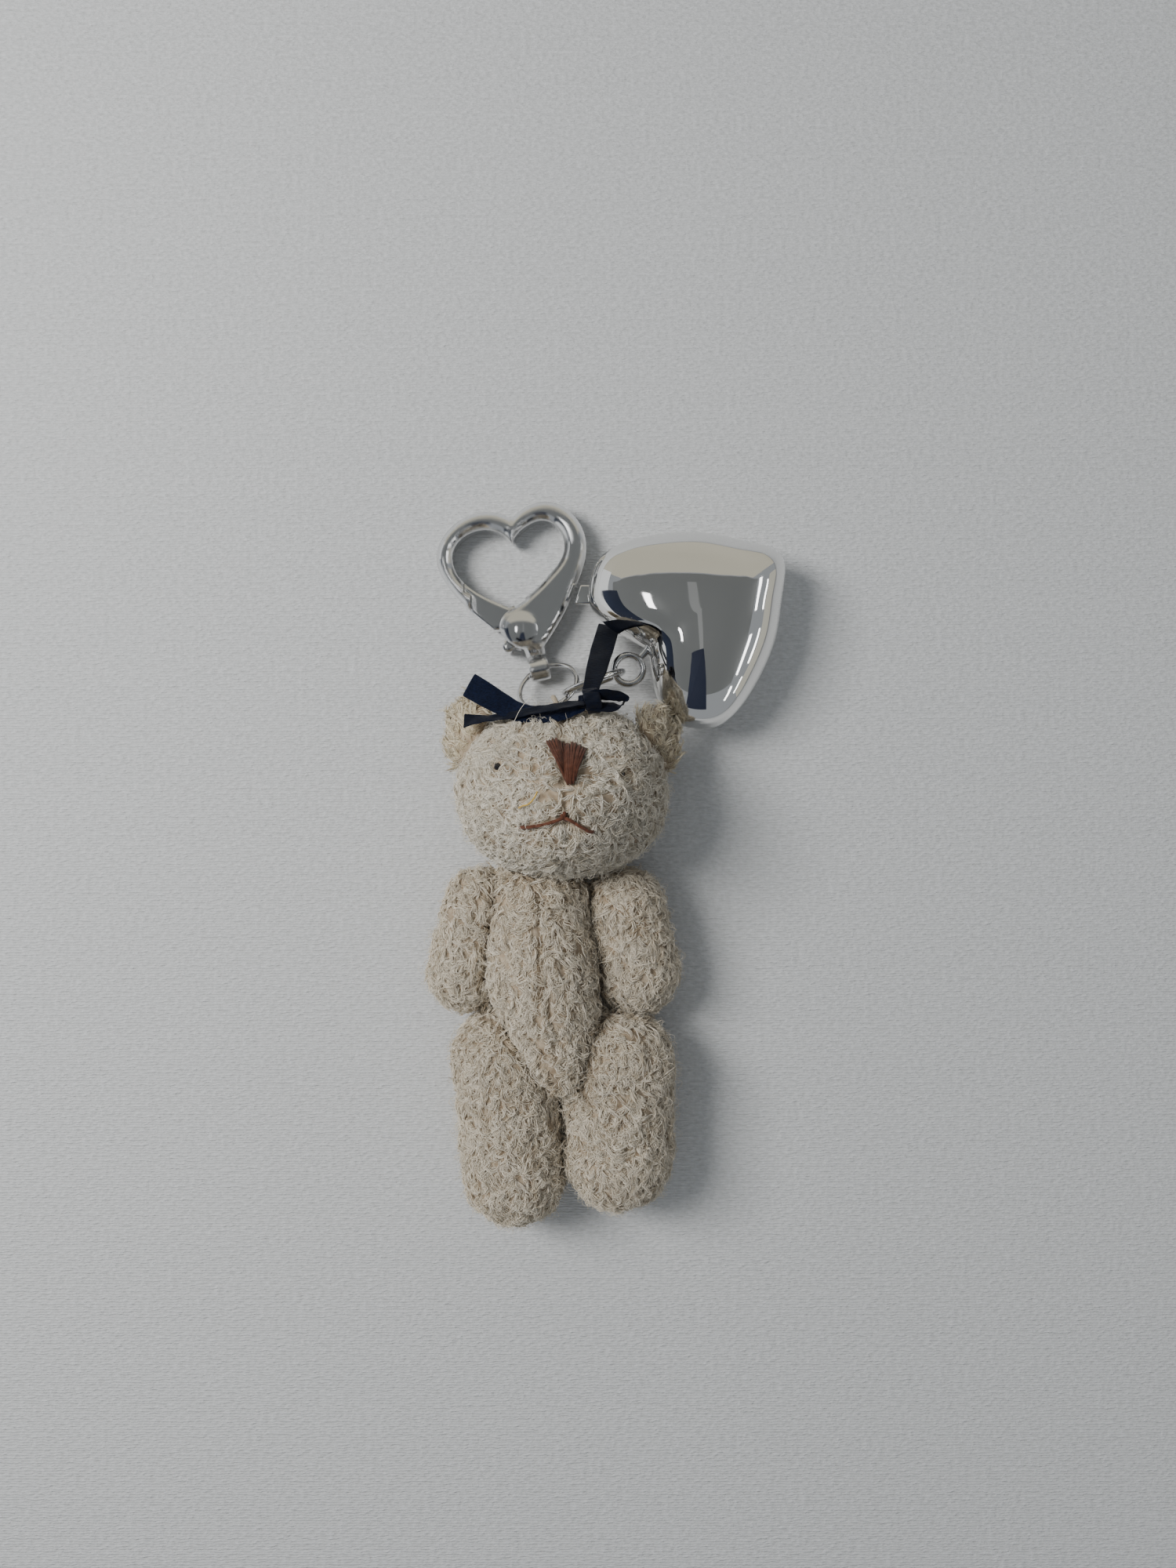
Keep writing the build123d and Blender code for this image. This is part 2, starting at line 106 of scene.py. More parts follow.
def cloth_material(name, colours, scale=900, roughness=0.95, sheen=0.3, bump=0.5, stretch=(1, 1, 1)):
    """Cloth or thread: its colour wanders between the given ones, and the same noise gives it relief."""
    mat, nodes, links, shader = new_material(name)
    noise, ramp = mottled(nodes, links, scale, 6, colours, stretch)
    links.new(ramp.outputs["Color"], shader.inputs["Base Color"])
    shader.inputs["Roughness"].default_value = roughness
    shader.inputs["Sheen Weight"].default_value = sheen
    shader.inputs["Specular IOR Level"].default_value = 0.2
    relief = nodes.new("ShaderNodeBump")
    relief.inputs["Strength"].default_value = bump
    relief.inputs["Distance"].default_value = 0.0003
    links.new(noise.outputs["Fac"], relief.inputs["Height"])
    links.new(relief.outputs["Normal"], shader.inputs["Normal"])
    return mat


def fibre_material(name, colour):
    """One tone of the pile's silky fibres. The mottling comes from the tones that each lock mixes, which are
    random tone and painted shade.
    """
    mat, _, _, shader = new_material(name)
    shader.inputs["Base Color"].default_value = (*colour, 1)
    shader.inputs["Roughness"].default_value = 0.75
    shader.inputs["Sheen Weight"].default_value = 0.35
    shader.inputs["Sheen Roughness"].default_value = 0.5
    shader.inputs["Specular IOR Level"].default_value = 0.25
    return mat


def metal_material(name, colour, low, high, scale=260, stretch=(1, 1, 1)):
    """Plated metal: fine scuffs make its roughness wander between low and high."""
    mat, nodes, links, shader = new_material(name)
    noise, _ = mottled(nodes, links, scale, 5, [(0, 0, 0), (1, 1, 1)], stretch)
    spread = nodes.new("ShaderNodeMapRange")
    spread.inputs["From Min"].default_value = 0.45
    spread.inputs["From Max"].default_value = 0.75
    spread.inputs["To Min"].default_value = low
    spread.inputs["To Max"].default_value = high
    links.new(noise.outputs["Fac"], spread.inputs["Value"])
    links.new(spread.outputs["Result"], shader.inputs["Roughness"])
    shader.inputs["Base Color"].default_value = (*colour, 1)
    shader.inputs["Metallic"].default_value = 1.0
    return mat


def soften_edges(mat, radius):
    """Shades the edges of a casting as rounded to that radius."""
    rounding = mat.node_tree.nodes.new("ShaderNodeBevel")
    rounding.samples = 8
    rounding.inputs["Radius"].default_value = radius
    shader = mat.node_tree.nodes["Principled BSDF"]
    mat.node_tree.links.new(rounding.outputs["Normal"], shader.inputs["Normal"])


# The tones of the pile run from the lightest fibres on top of it to the deepest ones in its creases. Which
# tone a fibre takes is partly random and partly painted shade.
BODY_TONES = [
    (0.85, 0.77, 0.63), (0.77, 0.68, 0.53), (0.65, 0.55, 0.405), (0.50, 0.395, 0.265), (0.33, 0.24, 0.145),
]
HEAD_TONES = [
    (0.86, 0.80, 0.68), (0.78, 0.71, 0.575), (0.68, 0.60, 0.46), (0.55, 0.46, 0.325), (0.38, 0.29, 0.185),
]
EAR_TONES = [
    (0.84, 0.75, 0.58), (0.76, 0.67, 0.49), (0.66, 0.56, 0.38), (0.52, 0.42, 0.27), (0.36, 0.27, 0.16),
]
DEEPEST_TONE = len(BODY_TONES) - 1
body_fibres = [fibre_material(f"body_fibre_{k}", tone) for k, tone in enumerate(BODY_TONES)]
head_fibres = [fibre_material(f"head_fibre_{k}", tone) for k, tone in enumerate(HEAD_TONES)]
ear_fibres = [fibre_material(f"ear_fibre_{k}", tone) for k, tone in enumerate(EAR_TONES)]
# The plush's backing cloth, in a tan darker than its own as painted shade where it shows between the locks.
backing_with_gap_shade = cloth_material("plush_backing_gap_shade", [(0.29, 0.215, 0.14), (0.42, 0.335, 0.24), (0.53, 0.44, 0.33)])
nose_yarn = cloth_material("nose_yarn", [(0.062, 0.021, 0.012), (0.128, 0.048, 0.028)], 1500, 0.6, 0.15, 0.3)
mouth_yarn = cloth_material("mouth_yarn", [(0.09, 0.032, 0.018), (0.17, 0.065, 0.038)], 1500, 0.6, 0.15, 0.3)
thread_mat = cloth_material("sewing_thread", [(0.42, 0.34, 0.24), (0.55, 0.47, 0.36)], 1800)
# One navy satin in two copies: the wide tail's is lighter and bluer as painted sheen, the other parts' darker
# as painted shade.
satin = cloth_material(
    "navy_satin", [(0.002, 0.0035, 0.010), (0.007, 0.012, 0.036)], 2600, 0.42, 0.12, 0.6, (1, 3, 1),
)
satin.node_tree.nodes["Principled BSDF"].inputs["Sheen Tint"].default_value = (0.25, 0.4, 0.9, 1)
painted_shade_satin = cloth_material(
    "navy_satin_painted_shade", [(0.002, 0.003, 0.007), (0.005, 0.008, 0.020)], 1400, 0.5, 0.05, 0.3, (1, 6, 1),
)
chrome = metal_material("clasp_chrome", (0.84, 0.84, 0.84), 0.05, 0.16)
soften_edges(chrome, 1.1 * MM)
plating = metal_material("pendant_plating", (0.86, 0.855, 0.84), 0.03, 0.09, 190)
wire_mat = metal_material("ring_wire", (0.72, 0.72, 0.73), 0.12, 0.26, 500, (1, 1, 5))
spring_mat = metal_material("spring_steel", (0.5, 0.5, 0.52), 0.2, 0.35, 500)
bead, _, _, bead_shader = new_material("eye_bead")
bead_shader.inputs["Base Color"].default_value = (0.012, 0.011, 0.014, 1)
bead_shader.inputs["Roughness"].default_value = 0.12
bead_shader.inputs["Coat Weight"].default_value = 0.6


# ---------------------------------------------------------------- meshes
def build_mesh(name, verts, quads, material_index=None, smooth=True):
    """A mesh object from vertices on the drawing and faces that all have the same number of corners."""
    verts = to_frame(verts)
    quads = np.asarray(quads, np.int32)
    corners = quads.shape[1]
    mesh = bpy.data.meshes.new(name)
    mesh.vertices.add(len(verts))
    mesh.vertices.foreach_set("co", verts.astype(np.float32).ravel())
    mesh.loops.add(quads.size)
    mesh.loops.foreach_set("vertex_index", quads.ravel())
    mesh.polygons.add(len(quads))
    mesh.polygons.foreach_set("loop_start", np.arange(0, quads.size, corners, dtype=np.int32))
    mesh.polygons.foreach_set("use_smooth", np.full(len(quads), smooth))
    if material_index is not None:
        mesh.polygons.foreach_set("material_index", np.asarray(material_index, np.int32))
    mesh.update(calc_edges=True)
    mesh.validate()
    return new_object(name, mesh)


def plain_object(name, verts, faces, smooth=False):
    """An object from vertices in metres in the frame, and faces of any number of corners."""
    mesh = bpy.data.meshes.new(name)
    mesh.from_pydata([tuple(v) for v in verts], [], faces)
    mesh.polygons.foreach_set("use_smooth", np.full(len(faces), smooth))
    return new_object(name, mesh)


def dress(ob, body, materials, replaced=()):
    """Gives a piece its material or materials and its body, and hides the CAD nodes that it stands for."""
    for mat in materials if isinstance(materials, list) else [materials]:
        ob.data.materials.append(mat)
    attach(ob, body)
    if replaced:
        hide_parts(*replaced)
    return ob


def smooth_line(points, count, steps=16):
    """A Catmull-Rom curve through points, resampled evenly to count points."""
    p = np.asarray(points, float)
    p = np.vstack([2 * p[0] - p[1], p, 2 * p[-1] - p[-2]])
    t = np.linspace(0, 1, steps, endpoint=False)[:, None]
    out = []
    for a, b, c, d in zip(p, p[1:], p[2:], p[3:]):
        square, cube = 2 * a - 5 * b + 4 * c - d, 3 * b - a - 3 * c + d
        out.append(0.5 * (2 * b + (c - a) * t + square * t**2 + cube * t**3))
    line = np.vstack([*out, p[-2][None]])
    at = np.concatenate([[0], np.cumsum(np.linalg.norm(np.diff(line, axis=0), axis=1))])
    even = np.linspace(0, at[-1], count)
    return np.stack([np.interp(even, at, line[:, k]) for k in range(line.shape[1])], axis=1)


def tubes(paths, radii, refs, sides=3):
    """Round strands along paths (N, K, 3) with radii (N, K). refs (N, 3) steadies each one's frame."""
    n, k, _ = paths.shape
    along = unit(np.gradient(paths, axis=1))
    across = unit(np.cross(along, refs[:, None, :] + 0.013))
    rise = np.cross(across, along)
    turn = np.linspace(0, 2 * math.pi, sides, endpoint=False)
    ring = np.cos(turn)[:, None] * across[:, :, None, :] + np.sin(turn)[:, None] * rise[:, :, None, :]
    verts = paths[:, :, None, :] + radii[:, :, None, None] * ring
    base = (np.arange(n) * k * sides)[:, None, None]
    row = (np.arange(k - 1) * sides)[None, :, None]
    s = np.arange(sides)[None, None, :]
    a = base + row + s
    b = base + row + (s + 1) % sides
    quads = np.stack([a, b, b + sides, a + sides], axis=-1).reshape(-1, 4)
    return verts.reshape(-1, 3), quads


# ---------------------------------------------------------------- plush forms
def ellipsoid(p, centre, radii):
    q = (p - np.array(centre)) / np.array(radii)
    k0 = np.linalg.norm(q, axis=1)
    k1 = np.linalg.norm(q / np.array(radii), axis=1)
    return k0 * (k0 - 1) / np.maximum(k1, 1e-6)


def cone(p, a, ra, b, rb):
    """A round-ended cone, or a capsule, from a with radius ra to b with radius rb."""
    a, b = np.array(a, float), np.array(b, float)
    t = np.clip(((p - a) @ (b - a)) / ((b - a) @ (b - a)), 0, 1)
    return np.linalg.norm(p - (a + t[:, None] * (b - a)), axis=1) - (ra + (rb - ra) * t)


def merged(a, b, k):
    """Two fields joined by a fillet of about k."""
    h = np.clip(0.5 + 0.5 * (b - a) / k, 0, 1)
    return b * (1 - h) + a * h - k * h * (1 - h)


def lumps(p, size, seed, waves=14, gain=1.9):
    """A soft random wave of about that wavelength, mostly between -1 and 1."""
    rng = np.random.default_rng(seed)
    total = np.zeros(len(p))
    for _ in range(waves):
        way = unit(rng.normal(size=3)) * 2 * math.pi / (size * rng.uniform(0.7, 1.5))
        total += np.sin(p @ way + rng.uniform(0, 7))
    return total / waves * gain


def directions(subdivisions):
    """Even directions in space, and the triangles that join them."""
    bm = bmesh.new()
    bmesh.ops.create_icosphere(bm, subdivisions=subdivisions, radius=1)
    verts = np.array([v.co for v in bm.verts])
    faces = np.array([[v.index for v in f.verts] for f in bm.faces])
    bm.free()
    return unit(verts), faces


DIRS, DIR_FACES = directions(6)


def edge_of(inside_at, low, high, halvings=26):
    """Where each value stops being inside, found by halving between low and high."""
    high = np.full(len(low), float(high))
    for _ in range(halvings):
        mid = (low + high) / 2
        inside = inside_at(mid)
        low, high = np.where(inside, mid, low), np.where(inside, high, mid)
    return low


def star_form(centre, field, reach, scale=(1, 1, 1)):
    """The closed surface where field is zero, found along rays from the centre."""
    ways = unit(DIRS * np.array(scale))
    start = np.array(centre)
    low = edge_of(lambda away: field(start + ways * away[:, None]) < 0, np.zeros(len(ways)), reach)
    return start + ways * low[:, None]


def curls(p, size, seed):
    """Rounded ridges with creases between them, like the loops of a boucle cloth."""
    return 0.55 - np.minimum(np.abs(lumps(p, size, seed)), 1.2)


# Each dimple or bulge in the head: its middle, its depth, negative for a bulge, and its size.
EYE_HOLLOWS = [
    ((-12.6, 2.4, 22.6), -0.95, 2.8),
    ((4.7, 1.4, 22.6), -1.2, 2.8),
    ((-12.6, 2.4, 23.0), 0.50, 0.8),
    ((5.0, 1.4, 23.2), 1.1, 1.2),
]


def head_field(p):
    skull = cone(p, (-6.9, -0.6, 12.5), 11.7, (-0.9, -0.6, 12.5), 11.7)
    cheeks = ellipsoid(p, (-3.8, -2.0, 12.0), (14.9, 11.4, 11.2))
    muzzle = ellipsoid(p, (-3.3, -2.8, 18.8), (9.2, 8.0, 8.2))
    form = merged(merged(skull, cheeks, 2.0), muzzle, 2.4)
    x, y, z = p.T
    front = np.clip((z - 15) / 5, 0, 1)
    seam = np.exp(-((x + 3.25) / 0.5) ** 2) * front * (np.abs(y + 1.0) < 14)
    form = form + 0.5 * seam
    for centre, depth, size in EYE_HOLLOWS:
        away = np.linalg.norm(p - np.array(centre), axis=1)
        form = form + depth * np.exp(-((away / size) ** 2))
    mouth_line = y + 4.9 + 0.12 * np.abs(x + 3.2)
    mouth = np.exp(-((mouth_line / 0.9) ** 2)) * np.exp(-(((x + 3.6) / 6.5) ** 2)) * front
    return form + 0.45 * mouth + 0.16 * lumps(p, 6, 3) - 0.16 * curls(p, 2.6, 4)


def ear_field(centre, turn, size):
    """A round cushion of that radius, cupped at the front and turned by that many degrees to the side."""
    lean = math.radians(turn)
    normal = np.array([math.sin(lean), 0.0, math.cos(lean)])

    def field(p):
        q = p - np.array(centre)
        out = q @ normal
        flat = q - out[:, None] * normal
        r = np.linalg.norm(flat * np.array([1.0, 0.88, 1.0]), axis=1) / size
        cup = 0.9 * np.exp(-((r / 0.55) ** 2)) * (out > 0)
        return (np.sqrt(r**2 + (out / 2.1) ** 2) - 1) * 1.9 + cup + 0.12 * lumps(p, 3, 8)

    return field


# The torso from its pointed lower tip to its neck: (y, value) along its length.
TORSO_AXIS_X = [(-46, -3.1), (-40, -4.9), (-30, -6.8), (-20, -7.4), (-12, -7.6)]
TORSO_AXIS_Z = [(-46, 14.4), (-42, 13.2), (-36, 11.2), (-30, 10.0), (-20, 9.2), (-12, 8.9)]
TORSO_RADIUS = [
    (-46.0, 0), (-45, 1.5), (-42.8, 3.2), (-39.5, 4.9), (-36, 6.4), (-32.5, 7.5), (-29, 8.0), (-25, 7.8),
    (-20, 7.3), (-16, 6.7), (-13, 5.5), (-11, 3.0), (-10, 0),
]


def torso_field(p):
    """The torso, with the belly seam pressed into its front."""
    lines = (TORSO_AXIS_X, TORSO_AXIS_Z, TORSO_RADIUS)
    axis_x, axis_z, radius = (np.interp(p[:, 1], *zip(*line)) for line in lines)
    away = np.hypot(p[:, 0] - axis_x, (p[:, 2] - axis_z) / 0.99)
    seam = 0.5 * np.exp(-((p[:, 0] - axis_x - 0.6) / 0.5) ** 2) * (p[:, 2] > axis_z)
    return away - radius + seam + 0.18 * lumps(p, 5, 5) - 0.34 * curls(p, 2.8, 6)


def limb_field(a, ra, b, rb, seed):
    """A stuffed arm or leg from its joint at a to its end at b."""
    def field(p):
        return cone(p, a, ra, b, rb) + 0.22 * lumps(p, 5, seed) - 0.34 * curls(p, 2.8, seed + 1)

    return field


def form_of(field, centre, reach, scale, body, slot, fill, replaced, curl, groove=1.8):
    return dict(field=field, centre=centre, reach=reach, scale=scale, body=body, slot=slot, fill=fill,
                replaced=replaced, curl=curl, groove=groove)


def ear(centre, turn, size, node):
    return form_of(ear_field(centre, turn, size), centre, 8, (1, 1, 0.6), "head", "plush_head", 0.3, (node,),
                   (2.6, 4), groove=0.4)


def limb(name, joint, joint_radius, end, end_radius, centre, reach, fill, seed):
    field = limb_field(joint, joint_radius, end, end_radius, seed)
    return form_of(field, centre, reach, (0.7, 1, 0.7), name, "plush_body", fill,
                   (f"{name}_cover", f"{name}_stuffing"), (2.8, seed + 1))


# curl is the size and the seed of the pile's curls, and groove is how deep a form is pressed in by its
# neighbours.
FORMS = {
    "head": form_of(head_field, (-3.6, -1.0, 13.5), 26, (1, 1, 1), "head", "plush_head", 0.8,
                    ("head_cover", "head_stuffing"), (2.6, 4)),
    "ear_left": ear((-17.6, 7.3, 11.4), -48, 4.9, "ear_left"),
    "ear_right": ear((10.2, 6.3, 11.4), 48, 4.6, "ear_right"),
    "torso": form_of(torso_field, (-6.9, -28.5, 9.0), 30, (0.6, 1, 0.6), "torso", "plush_body", 0.8,
                     ("torso_cover", "torso_stuffing"), (2.8, 6)),
    "arm_left": limb("arm_left", (-16.4, -18.3, 7.6), 5.0, (-18.7, -28.8, 6.0), 5.5,
                     (-17.6, -23.5, 6.8), 18, 0.7, 21),
    "arm_right": limb("arm_right", (5.6, -18.8, 7.7), 5.6, (7.4, -28.5, 6.5), 6.1,
                      (6.5, -23.6, 7.1), 18, 0.7, 31),
    "leg_left": limb("leg_left", (-12.6, -42.0, 7.5), 7.6, (-11.2, -59.2, 7.6), 7.2,
                     (-11.9, -50.6, 7.5), 24, 0.75, 41),
    "leg_right": limb("leg_right", (4.5, -42.6, 8.1), 8.0, (4.5, -56.2, 8.0), 7.7,
                      (4.5, -49.6, 8.0), 24, 0.75, 51),
}
NEIGHBOURS = {
    "head": (),
    "ear_left": ("head",),
    "ear_right": ("head",),
    "torso": ("head",),
    "arm_left": ("torso", "head"),
    "arm_right": ("torso", "head"),
    "leg_left": ("torso", "arm_left", "leg_right"),
    "leg_right": ("torso", "arm_right"),
}
OFF_THE_TABLE = 0.05


def closeness(name, p, reach):
    """How near p is to a neighbouring form that lies over this one: 1 on it, falling to 0 beyond reach."""
    near = np.zeros(len(p))
    for other in NEIGHBOURS[name]:
        near = np.maximum(near, np.exp(-((np.maximum(FORMS[other]["field"](p), 0) / reach) ** 2)))
    return near


def stuffed(name, form):
    """The cloth of a padded piece, pressed in where a neighbour lies over it."""
    def carved(p):
        return form["field"](p) + form["groove"] * closeness(name, p, 0.9)

    form["verts"] = star_form(form["centre"], carved, form["reach"], form["scale"])
    form["verts"][:, 2] = np.maximum(form["verts"][:, 2], OFF_THE_TABLE)
    ob = build_mesh(f"{name}_plush", form["verts"], DIR_FACES)
    dress(ob, form["body"], backing_with_gap_shade, form["replaced"])


for name, form in FORMS.items():
    stuffed(name, form)


# ---------------------------------------------------------------- pile
MOST_TRIANGLES = 190000
FIBRES_IN_A_LOCK = 6
POINTS_ON_A_FIBRE = 7
FIBRE_TAPER = np.array([0.7, 1, 1, 1, 0.9, 0.7, 0.25])
STRAY_SHARE = 0.07
FRONT_Z = 15


def on_surface(verts, count, rng):
    """count points spread over a form by area, with their outward normals, and the form's area."""
    tri = verts[DIR_FACES]
    cross = np.cross(tri[:, 1] - tri[:, 0], tri[:, 2] - tri[:, 0])
    area = np.linalg.norm(cross, axis=1)
    picks = rng.choice(len(tri), count, p=area / area.sum())
    u, v = rng.random((2, count, 1))
    fold = (u + v) > 1
    u, v = np.where(fold, 1 - u, u), np.where(fold, 1 - v, v)
    points = tri[picks, 0] + u * (tri[picks, 1] - tri[picks, 0]) + v * (tri[picks, 2] - tri[picks, 0])
    corner = np.zeros_like(verts)
    for k in range(3):
        np.add.at(corner, DIR_FACES[:, k], cross)
    corner = unit(corner)
    normals = unit(corner[DIR_FACES[picks]].mean(axis=1))
    return points, normals, area.sum() / 2


def tangent_frame(normals, flow):
    """Two directions along the surface at each normal, the first one nearest to the flow."""
    side = flow - (flow * normals).sum(1, keepdims=True) * normals
    first = unit(side + 1e-6)
    return first, np.cross(normals, first)


def in_the_open(points, own):
    """Which roots are clear of every other padded form, so that no pile pokes out of a neighbour."""
    clear = np.ones(len(points), bool)
    for name, form in FORMS.items():
        if name != own:
            near = np.linalg.norm(points - np.array(form["centre"]), axis=1) < form["reach"]
            clear[near] &= form["field"](points[near]) > 0.35
    return clear


def pile_piece(name, form, paths, radii, normals, tones, fibres):
    """Splits a pile into pieces, each small enough to keep whole when it is exported."""
    n, k, _ = paths.shape
    sides = 3
    faces = (k - 1) * sides
    share = MOST_TRIANGLES // (2 * faces)
    for part, start in enumerate(range(0, n, share), 1):
        cut = slice(start, start + share)
        verts, quads = tubes(paths[cut], radii[cut], normals[cut], sides)
        index = np.repeat(tones[cut], faces)
        ob = build_mesh(f"{name}_pile_{part}", verts, quads, index)
        dress(ob, form["body"], list(fibres))


def near_line(xy, a, b, width):
    """1 on the line from a to b on the drawing, falling to 0 over width."""
    a, b = np.array(a), np.array(b)
    t = np.clip(((xy - a) @ (b - a)) / ((b - a) @ (b - a)), 0, 1)
    return np.exp(-((np.linalg.norm(xy - a - t[:, None] * (b - a), axis=1) / width) ** 2))


def pile(name, locks_per_mm2, seed, fibres, turning, height, brushed=None, marks=(), bare=()):
    """Boucle pile: locks of a few silky fibres side by side, each lock lying in a curve on the cloth.

    turning is how far a lock curls round, in radians. brushed is the point that the pile is combed away from.
    marks are (start, end, width, dark) lines on the front where the fibres turn darker as painted shade, and
    bare are (start, end, width) lines that no fibre crosses.
    """
    form = FORMS[name]
    rng = np.random.default_rng(seed)
    _, _, area = on_surface(form["verts"], 10, np.random.default_rng(0))
    locks, each, k = int(area * locks_per_mm2), FIBRES_IN_A_LOCK, POINTS_ON_A_FIBRE
    points, normals, _ = on_surface(form["verts"], locks, rng)
    flow = np.array([[0.25, -1.0, 0.0]]) if brushed is None else unit(points - np.array(brushed)) * 1.2
    swirl = lumps(points, 6, seed + 3)[:, None] * 1.3
    flow = flow + swirl * np.array([1.0, 0.3, 0.0]) + rng.normal(scale=0.75, size=(locks, 3))
    t1, t2 = tangent_frame(normals, flow)
    length = rng.uniform(1.3, 2.5, (locks, 1, 1))
    turn = rng.normal(scale=turning, size=(locks, 1, 1))
    snake = rng.normal(scale=0.8, size=(locks, 1, 1))
    height = rng.uniform(*height, (locks, 1, 1))

    def many(a, jitter=0.0):
        """The lock's value for each of its fibres, with a random difference between them."""
        a = np.repeat(a, each, axis=0)
        return a * (1 + jitter * rng.normal(size=a.shape[:1] + (1,) * (a.ndim - 1)))

    t = np.linspace(0, 1, k)[None, :, None]
    pts, nor, a, b = many(points), many(normals), many(t1), many(t2)
    place = np.tile(np.linspace(-0.20, 0.20, each), locks)[:, None]
    place = place + rng.normal(scale=0.05, size=(len(pts), 1))
    pts = pts + b * place + a * rng.normal(scale=0.18, size=(len(pts), 1))
    length, turn, snake, height = many(length, 0.15), many(turn, 0.10), many(snake, 0.2), many(height, 0.2)
    stray = rng.random((len(pts), 1, 1)) < STRAY_SHARE
    height = np.where(stray, height * 2.2 + 0.2, height)
    heading = turn * (t - 0.3) + snake * np.sin(2 * math.pi * t)
    step = length / (k - 1)
    walk_a = np.cumsum(np.cos(heading), axis=1) * step
    walk_b = np.cumsum(np.sin(heading), axis=1) * step
    lift = height * np.sin(math.pi * np.minimum(1, 0.05 + 0.85 * t)) - 0.04
    paths = pts[:, None, :] + nor[:, None, :] * lift + a[:, None, :] * walk_a + b[:, None, :] * walk_b
    paths[:, :, 2] = np.maximum(paths[:, :, 2], 0.1)
    radii = rng.uniform(0.036, 0.066, (len(pts), 1)) * FIBRE_TAPER * np.where(stray[:, :, 0], 0.5, 1.0)
    # Fibres in the creases between the curls take darker tones: painted shade. Each lock also gets its own
    # random tone.
    crease_shade = -curls(pts, *form["curl"])
    lock_tone = many(rng.normal(scale=0.65, size=(locks, 1)))[:, 0]
    tone_and_painted_shade = crease_shade * 1.5 + lock_tone + lumps(pts, 12, seed + 6) * 0.4
    # Short fibres, low in the pile, take darker tones and tall ones lighter: painted shade and painted light.
    tone_and_painted_shade = tone_and_painted_shade - np.minimum(height[:, 0, 0] - 0.4, 0.3) * 2.4
    # Fibres next to a neighbouring form that lies over this one take darker tones: painted shade between the
    # parts.
    tone_and_painted_shade = tone_and_painted_shade + (1.2 if name.startswith("ear") else 3.2) * closeness(name, pts, 1.4)
    # Along the marks the fibres turn darker: painted shade.
    for start, end, width, dark in marks:
        tone_and_painted_shade = tone_and_painted_shade + dark * (pts[:, 2] > FRONT_Z) * near_line(pts[:, :2], start, end, width)
    tones = np.round(0.9 + tone_and_painted_shade + rng.normal(scale=0.5, size=len(pts)))
    tones = np.clip(tones, 0, DEEPEST_TONE).astype(int)
    keep = in_the_open(pts, name)
    for start, end, width in bare:
        crossing = near_line(paths[:, :, :2].reshape(-1, 2), start, end, width).reshape(len(pts), k)
        keep &= ~((crossing.max(axis=1) > 0.4) & (pts[:, 2] > FRONT_Z))
    pile_piece(name, form, paths[keep], radii[keep], nor[keep], tones[keep], fibres)


# The face's darker lines, which are painted shade: the parting under the nose, the one above it, and the
# hollows at the eyes.
FACE_SHADE_MARKS = [
    ((-2.6, -0.4), (-3.3, -4.3), 0.5, 3.4),
    ((-3.9, 9.5), (-3.7, 6.5), 0.3, 3.2),
    ((4.6, 1.2), (5.3, 1.6), 0.8, 3.8),
    ((-12.9, 1.8), (-12.3, 3.0), 0.55, 1.6),
]
# The pile leaves the eyes, the partings, the nose and the mouth free, in that order.
FACE_BARE = [
    ((-12.95, 1.75), (-12.25, 2.95), 0.24),
    ((4.6, 1.2), (5.1, 1.5), 0.16),
    ((-2.8, -2.6), (-3.1, -3.8), 0.05),
    ((-3.85, 9.0), (-3.7, 6.6), 0.10),
    ((-4.9, 5.5), (-2.6, 0.6), 0.55),
    ((-1.2, 4.5), (-2.4, 0.6), 0.55),
    ((-4.2, 5.4), (-1.4, 4.7), 0.55),
    ((-2.9, 4.0), (-2.6, 1.0), 0.6),
    ((-9.0, -5.85), (-3.3, -4.7), 0.15),
    ((-3.3, -4.7), (0.4, -6.4), 0.15),
]
BELLY_SEAM = [(-7.3, -13.5), (-7.1, -31.0), (-6.9, -38.0), (-4.3, -44.5)]
# The darker line along the belly seam is painted shade in its groove.
BELLY_SEAM_SHADE = [(start, end, 0.35, 2.4) for start, end in zip(BELLY_SEAM, BELLY_SEAM[1:])]
BELLY_BARE = [(start, end, 0.07) for start, end in zip(BELLY_SEAM, BELLY_SEAM[1:])]
HEAD_CROWN, HEAD_BACK = (-3.2, -1.0, 24.0), (-3.8, -4.0, 12.0)
share_of_pile = 1.0
for seed, name in enumerate(("torso", "arm_left", "arm_right", "leg_left", "leg_right")):
    marks, bare = (BELLY_SEAM_SHADE, BELLY_BARE) if name == "torso" else ((), ())
    pile(name, 2.6 * share_of_pile, 100 + seed * 10, body_fibres, 2.3, (0.18, 0.62), None, marks, bare)
pile("head", 2.5 * share_of_pile, 200, head_fibres, 1.3, (0.15, 0.55), HEAD_CROWN, FACE_SHADE_MARKS, FACE_BARE)
for seed, name in enumerate(("ear_left", "ear_right")):
    pile(name, 2.2 * share_of_pile, 220 + seed * 10, ear_fibres, 1.2, (0.12, 0.45), HEAD_BACK)


# ---------------------------------------------------------------- face stitching
def on_face(xy, lift):
    """Points above the head's own surface, at x and y on the drawing."""
    xy = np.asarray(xy, float)
    surface = edge_of(lambda z: head_field(np.column_stack([xy, z])) < 0, np.full(len(xy), 13.0), 32)
    return np.column_stack([xy, surface + lift])


def yarn(name, lines, radius, material, replaced, lift, bow, sides=8, count=16):
    """Stitches laid on the face, each arched by bow and dipping into the cloth at both ends."""
    arc = np.sin(np.linspace(0, math.pi, count))
    dip = np.outer(np.clip(0.25 - arc, 0, 1) * 2.4, UP)
    paths = np.array([on_face(smooth_line(line, count), lift + bow * arc) - dip for line in lines])
    radii = np.full(paths.shape[:2], radius)
    verts, quads = tubes(paths, radii, np.tile(UP, (len(paths), 1)), sides)
    return dress(build_mesh(name, verts, quads), "head", material, replaced)


